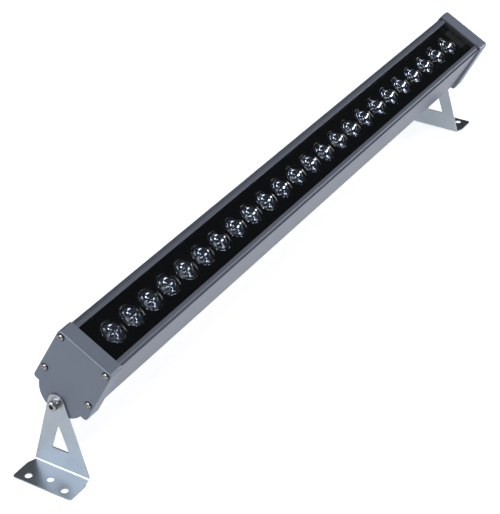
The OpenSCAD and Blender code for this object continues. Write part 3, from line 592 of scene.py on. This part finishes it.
def makeBracket(name, node, body, side):
    b = bracket
    bm = bmesh.new()
    drawBlank(bm)
    creaseBend(bm)
    for v in bm.verts:
        v.co = foldPoint(v.co)
    bmesh.ops.recalc_face_normals(bm, faces=bm.faces)
    high = max(bm.faces, key=lambda f: f.calc_center_median().z)
    if high.normal.x < 0:
        bmesh.ops.reverse_faces(bm, faces=bm.faces)
    bmesh.ops.solidify(bm, geom=bm.faces[:], thickness=b["sheet"])
    bmesh.ops.translate(bm, verts=bm.verts, vec=(b["plate"] + b["sheet"], 0, 0))
    bevelEdges(bm, sharpEdges(bm, 60), b["edge"], 2)
    if side < 0:
        bmesh.ops.scale(bm, verts=bm.verts, vec=(-1, 1, 1))
    return finishPiece(name, bm, body, "bracket_steel", node, smooth=b["smooth"])


makeBracket("leftBracket", "left_bracket", "left_foot", -1)
makeBracket("rightBracket", "right_bracket", "right_foot", 1)
print("brackets made")


# Pivot bolts and their washers

outerFace = bracket["plate"] + bracket["sheet"]

pivotWasher = {
    "slot": "bolt_steel",
    "start": outerFace,
    "radius": 8 * mm,
    "bore": 4.25 * mm,
    "thickness": 1.6 * mm,
    "edge": 0.15 * mm,
}

frictionWasher = {
    "slot": "friction_black",
    "start": bar["capFace"],
    "radius": 10 * mm,
    "bore": 4.25 * mm,
    "thickness": 0.5 * mm,
    "edge": 0.1 * mm,
}

bolt = {
    "seat": outerFace + pivotWasher["thickness"],
    "radius": 4 * mm,
    "headRadius": 6.5 * mm,
    "headHeight": 8 * mm,
    "chamferHeight": 0.8 * mm,
    "chamferWidth": 1.25 * mm,
    "socketRadius": 3.46 * mm,
    "socketDepth": 4.5 * mm,
    "bite": 14 * mm,
    "tipWidth": 0.6 * mm,
    "tipLength": 0.8 * mm,
    "shankInHead": 1 * mm,
    "ridges": 40,
    "ridgeHeight": 0.18 * mm,
}


def makeWasher(name, node, washer, side):
    bore, outer = washer["bore"], washer["radius"]
    thick, edge = washer["thickness"], washer["edge"]
    profile = [(bore, 0), (outer - edge, 0), (outer, edge), (outer, thick - edge),
               (outer - edge, thick), (bore + edge, thick), (bore, thick - edge)]
    bm = bmesh.new()
    spinProfile(bm, profile, 64, alongBar(washer["start"], bar["pivotDepth"], side))
    ontoBar(bm)
    return finishPiece(name, bm, "light_bar", washer["slot"], node)


def knurledHead(bm):
    # ridged round the side, chamfered at the top, and left open there
    b = bolt
    count = 2 * b["ridges"]
    radii = [b["headRadius"] - (k % 2) * b["ridgeHeight"] for k in range(count)]
    rim = [bm.verts.new((r * cos(2 * pi * k / count), r * sin(2 * pi * k / count), 0))
           for k, r in enumerate(radii)]
    raised = bmesh.ops.extrude_face_region(bm, geom=[bm.faces.new(rim)])["geom"]
    top = [v for v in raised if isinstance(v, bmesh.types.BMVert)]
    cap = [f for f in raised if isinstance(f, bmesh.types.BMFace)]
    bmesh.ops.translate(bm, verts=top, vec=(0, 0, b["headHeight"] - b["chamferHeight"]))
    bmesh.ops.inset_region(bm, faces=cap, thickness=b["chamferWidth"], use_even_offset=False)
    bmesh.ops.translate(bm, verts=list(cap[0].verts), vec=(0, 0, b["chamferHeight"]))
    opening = list(cap[0].edges)
    bmesh.ops.delete(bm, geom=cap, context="FACES_ONLY")
    return opening


def hexagonSocket(bm, opening):
    # fills the open top of the head round a hexagon, and sinks that
    r = bolt["socketRadius"]
    corners = [bm.verts.new((r * cos(pi * k / 3), r * sin(pi * k / 3), bolt["headHeight"]))
               for k in range(6)]
    mouth = closedEdges(bm, corners)
    bmesh.ops.triangle_fill(bm, edges=opening + mouth, use_beauty=True)
    walls = bmesh.ops.extrude_edge_only(bm, edges=mouth)["geom"]
    floor = [v for v in walls if isinstance(v, bmesh.types.BMVert)]
    bmesh.ops.translate(bm, verts=floor, vec=(0, 0, -bolt["socketDepth"]))
    bmesh.ops.contextual_create(bm, geom=floor)


def makeBolt(name, node, side):
    b = bolt
    reach = b["seat"] - bar["capFace"] + b["bite"]
    shank = [(0, -reach), (b["radius"] - b["tipWidth"], -reach),
             (b["radius"], b["tipLength"] - reach), (b["radius"], b["shankInHead"]),
             (0, b["shankInHead"])]
    bm = bmesh.new()
    hexagonSocket(bm, knurledHead(bm))
    spinProfile(bm, shank, 48)
    seat = alongBar(b["seat"], bar["pivotDepth"], side)
    bmesh.ops.transform(bm, matrix=seat, verts=bm.verts)
    ontoBar(bm)
    return finishPiece(name, bm, "light_bar", "bolt_steel", node)


for name, side in (("left", -1), ("right", 1)):
    makeBolt(name + "PivotBolt", name + "_pivot_bolt", side)
    makeWasher(name + "PivotWasher", name + "_pivot_washer", pivotWasher, side)
    makeWasher(name + "FrictionWasher", name + "_friction_washer", frictionWasher, side)
print("pivots made")


# Studio

studio = {
    "floorSize": 14,
    "floorColour": (0.93, 0.93, 0.93),
    "floorRoughness": 0.9,
    "floorGlow": 0.62,
    "skyColour": (0.050, 0.053, 0.060),
    "middle": (0, 0, 0.1),
}

# place, target, size, power, lights surfaces, seen in reflections, seen through the lenses
lights = {
    "overhead": ((0, -1.9, 3.4), (0, -0.3, 0), 5.5, 160, True, False, False),
    "leftSoftbox": ((-2.23, 1.08, 1.30), (-0.5, 0, 0.02), 2.0, 66, False, True, True),
    "rightSoftbox": ((2.30, -1.95, 0.95), studio["middle"], 1.3, 22, True, True, True),
    "frontSoftbox": ((-1.75, -1.15, 2.80), studio["middle"], 0.7, 14, True, True, True),
    "frontGlint": ((-2.05, -0.75, 2.60), studio["middle"], 0.45, 75, False, True, True),
    "topSoftbox": ((-1.40, 0.37, 2.84), studio["middle"], 2.0, 90, False, True, False),
    "rightGlint": ((2.15, -1.95, 0.60), studio["middle"], 0.9, 40, False, True, True),
}


def makeFloor():
    bm = bmesh.new()
    bmesh.ops.create_grid(bm, x_segments=1, y_segments=1, size=studio["floorSize"] / 2)
    mesh = bpy.data.meshes.new("floor")
    bm.to_mesh(mesh)
    bm.free()
    floor = bpy.data.objects.new("floor", mesh)
    bpy.context.scene.collection.objects.link(floor)
    paper, tree, shader = newFinish("floorWhite", studio["floorColour"], studio["floorRoughness"])
    shader.inputs["Emission Color"].default_value = (1, 1, 1, 1)
    shader.inputs["Emission Strength"].default_value = studio["floorGlow"]
    mesh.materials.append(paper)


def makeSky():
    world = bpy.data.worlds.new("studioSky")
    bpy.context.scene.world = world
    world.use_nodes = True
    background = world.node_tree.nodes["Background"]
    background.inputs["Color"].default_value = (*studio["skyColour"], 1)


def makeLights():
    for name, (place, target, size, power, lit, mirrored, through) in lights.items():
        lamp = bpy.data.lights.new(name, "AREA")
        lamp.size = size
        lamp.energy = power
        holder = bpy.data.objects.new(name, lamp)
        bpy.context.scene.collection.objects.link(holder)
        aim = Vector(target) - Vector(place)
        holder.location = place
        holder.rotation_euler = aim.to_track_quat("-Z", "Y").to_euler()
        holder.visible_diffuse = lit
        holder.visible_glossy = mirrored
        holder.visible_transmission = through


def makeCamera():
    camera = bpy.data.cameras.new("camera")
    camera.lens = view["lens"]
    camera.sensor_width = 36
    camera.clip_end = 50
    holder = bpy.data.objects.new("camera", camera)
    bpy.context.scene.collection.objects.link(holder)
    holder.location = view["place"]
    holder.rotation_euler = [radians(a) for a in view["turn"]]
    bpy.context.scene.camera = holder
    bpy.context.scene.view_settings.view_transform = "Standard"


makeFloor()
makeSky()
makeLights()
makeCamera()
print("studio set")
